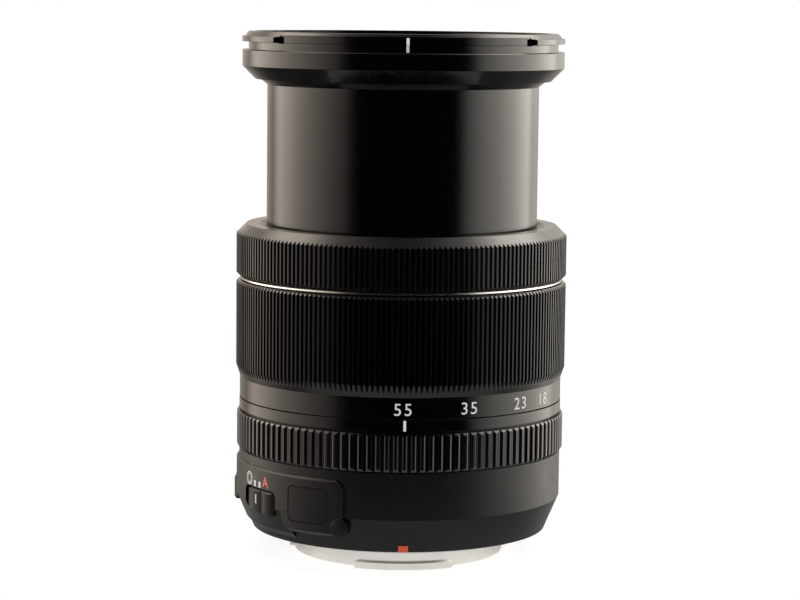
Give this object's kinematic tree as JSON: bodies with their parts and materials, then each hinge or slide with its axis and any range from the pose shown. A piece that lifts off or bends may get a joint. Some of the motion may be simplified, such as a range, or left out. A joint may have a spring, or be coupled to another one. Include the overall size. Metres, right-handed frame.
{
  "type": "camera zoom lens",
  "caption": "Black metal camera zoom lens with ribbed focus, zoom and aperture rings, an extending front tube, a filter thread, a switch panel and a silver bayonet mount.",
  "frame": {"origin": "centre of the mount flange plane, on the optical axis", "axes": "+Z along the optical axis towards the front, -Y to the index line, +X to the right seen from the index side"},
  "size_m": [0.0652, 0.065, 0.1025],
  "materials": {
    "black_anodised": "satin black anodised",
    "inner_black": "matt black moulding",
    "grey_aluminium": "grey anodised",
    "mount_chrome": "satin chromed brass",
    "accent_silver": "bright turned",
    "steel": "bright",
    "blade_black": "matt black coated spring steel",
    "brass": "bright",
    "copper": "enamelled winding",
    "badge": "satin black, bare",
    "index_orange": "gloss",
    "board_green": "solder mask",
    "felt": "felt",
    "glass": "coated"
  },
  "bodies": {
    "fixed_barrel": {"mount_bayonet": "mount_chrome", "mount_screws": "steel", "frame_screws": "steel", "rear_baffle": "inner_black", "contact_block": "inner_black", "contact_pins": "brass", "rear_barrel": "black_anodised", "index_mark": "index_orange", "badge_plate": "badge", "rear_cell": "inner_black", "lens_rear": "glass", "main_board": "board_green", "guide_barrel": "grey_aluminium", "index_ring": "black_anodised", "accent_ring": "accent_silver", "dust_seal": "felt", "focus_clip": "steel"},
    "aperture_control": {"aperture_ring": "black_anodised"},
    "mode_knob": {"mode_switch": "inner_black"},
    "stabiliser_knob": {"stabiliser_switch": "inner_black"},
    "focus_control": {"focus_ring": "black_anodised"},
    "zoom_control": {"zoom_ring": "black_anodised", "cam_barrel": "grey_aluminium", "zoom_keys": "steel"},
    "front_group": {"front_tube": "black_anodised", "front_followers": "brass", "front_ring": "black_anodised", "front_cell": "inner_black", "name_ring": "inner_black", "lens_front": "glass"},
    "carriage_group": {"carriage": "inner_black", "carriage_followers": "brass", "end_plate": "inner_black", "variator_cell": "inner_black", "lens_variator_a": "glass", "lens_variator_b": "glass", "lens_relay": "glass", "stabiliser_base": "inner_black", "iris_housing": "inner_black", "iris_cover": "inner_black", "iris_actuator": "copper", "stabiliser_coils": "copper", "guide_shafts": "steel", "focus_yoke": "steel"},
    "stabiliser_guide": {"stabiliser_frame": "steel"},
    "stabiliser_lens": {"stabiliser_cell": "inner_black", "stabiliser_magnets": "steel", "lens_stabiliser": "glass"},
    "focus_group": {"focus_cell": "inner_black", "focus_coil": "copper", "lens_focus": "glass"},
    "iris_drive": {"iris_ring": "steel"},
    "blade_1": {"iris_blade_1": "blade_black"},
    "blade_2": {"iris_blade_2": "blade_black"},
    "blade_3": {"iris_blade_3": "blade_black"},
    "blade_4": {"iris_blade_4": "blade_black"},
    "blade_5": {"iris_blade_5": "blade_black"},
    "blade_6": {"iris_blade_6": "blade_black"},
    "blade_7": {"iris_blade_7": "blade_black"}
  },
  "joints": [
    {"name": "zoom_turn", "type": "hinge", "parent": "fixed_barrel", "child": "zoom_control", "pos_m": [0, 0, 0], "axis": [0, 0, 1], "range_deg": [-60, 0]},
    {"name": "front_extend", "type": "slide", "parent": "fixed_barrel", "child": "front_group", "axis": [0, 0, 1], "range_m": [-0.0275, 0]},
    {"name": "carriage_move", "type": "slide", "parent": "fixed_barrel", "child": "carriage_group", "axis": [0, 0, 1], "range_m": [-0.012, 0]},
    {"name": "focus_ring_turn", "type": "hinge", "parent": "fixed_barrel", "child": "focus_control", "pos_m": [0, 0, 0], "axis": [0, 0, 1], "continuous": true},
    {"name": "aperture_ring_turn", "type": "hinge", "parent": "fixed_barrel", "child": "aperture_control", "pos_m": [0, 0, 0], "axis": [0, 0, 1], "continuous": true},
    {"name": "mode_switch_slide", "type": "hinge", "parent": "fixed_barrel", "child": "mode_knob", "pos_m": [0, 0, 0], "axis": [0, 0, 1], "range_deg": [-2.5, 0]},
    {"name": "stabiliser_switch_slide", "type": "hinge", "parent": "fixed_barrel", "child": "stabiliser_knob", "pos_m": [0, 0, 0], "axis": [0, 0, 1], "range_deg": [-2.5, 0]},
    {"name": "stabiliser_x", "type": "slide", "parent": "carriage_group", "child": "stabiliser_guide", "axis": [1, 0, 0], "range_m": [-0.0006, 0.0006]},
    {"name": "stabiliser_y", "type": "slide", "parent": "stabiliser_guide", "child": "stabiliser_lens", "axis": [0, 1, 0], "range_m": [-0.0006, 0.0006]},
    {"name": "focus_slide", "type": "slide", "parent": "carriage_group", "child": "focus_group", "axis": [0, 0, 1], "range_m": [-0.0024, 0.0024]},
    {"name": "iris_turn", "type": "hinge", "parent": "carriage_group", "child": "iris_drive", "pos_m": [0, 0, 0], "axis": [0, 0, 1], "range_deg": [0, 12]},
    {"name": "blade_1_swing", "type": "hinge", "parent": "carriage_group", "child": "blade_1", "pos_m": [0.0155, 0, 0.0402], "axis": [0, 0, 1], "range_deg": [0, 28]},
    {"name": "blade_2_swing", "type": "hinge", "parent": "carriage_group", "child": "blade_2", "pos_m": [0.00966, 0.01212, 0.0402], "axis": [0, 0, 1], "range_deg": [0, 28]},
    {"name": "blade_3_swing", "type": "hinge", "parent": "carriage_group", "child": "blade_3", "pos_m": [-0.00345, 0.01511, 0.0402], "axis": [0, 0, 1], "range_deg": [0, 28]},
    {"name": "blade_4_swing", "type": "hinge", "parent": "carriage_group", "child": "blade_4", "pos_m": [-0.01396, 0.00673, 0.0402], "axis": [0, 0, 1], "range_deg": [0, 28]},
    {"name": "blade_5_swing", "type": "hinge", "parent": "carriage_group", "child": "blade_5", "pos_m": [-0.01396, -0.00673, 0.0402], "axis": [0, 0, 1], "range_deg": [0, 28]},
    {"name": "blade_6_swing", "type": "hinge", "parent": "carriage_group", "child": "blade_6", "pos_m": [-0.00345, -0.01511, 0.0402], "axis": [0, 0, 1], "range_deg": [0, 28]},
    {"name": "blade_7_swing", "type": "hinge", "parent": "carriage_group", "child": "blade_7", "pos_m": [0.00966, -0.01212, 0.0402], "axis": [0, 0, 1], "range_deg": [0, 28]}
  ],
  "couplings": [
    {"joint": "front_extend", "follows": "zoom_turn", "m_per_rad": 0.02626},
    {"joint": "carriage_move", "follows": "zoom_turn", "m_per_rad": 0.011459},
    {"joint": "blade_1_swing", "follows": "iris_turn", "ratio": 2.3333},
    {"joint": "blade_2_swing", "follows": "iris_turn", "ratio": 2.3333},
    {"joint": "blade_3_swing", "follows": "iris_turn", "ratio": 2.3333},
    {"joint": "blade_4_swing", "follows": "iris_turn", "ratio": 2.3333},
    {"joint": "blade_5_swing", "follows": "iris_turn", "ratio": 2.3333},
    {"joint": "blade_6_swing", "follows": "iris_turn", "ratio": 2.3333},
    {"joint": "blade_7_swing", "follows": "iris_turn", "ratio": 2.3333}
  ]
}
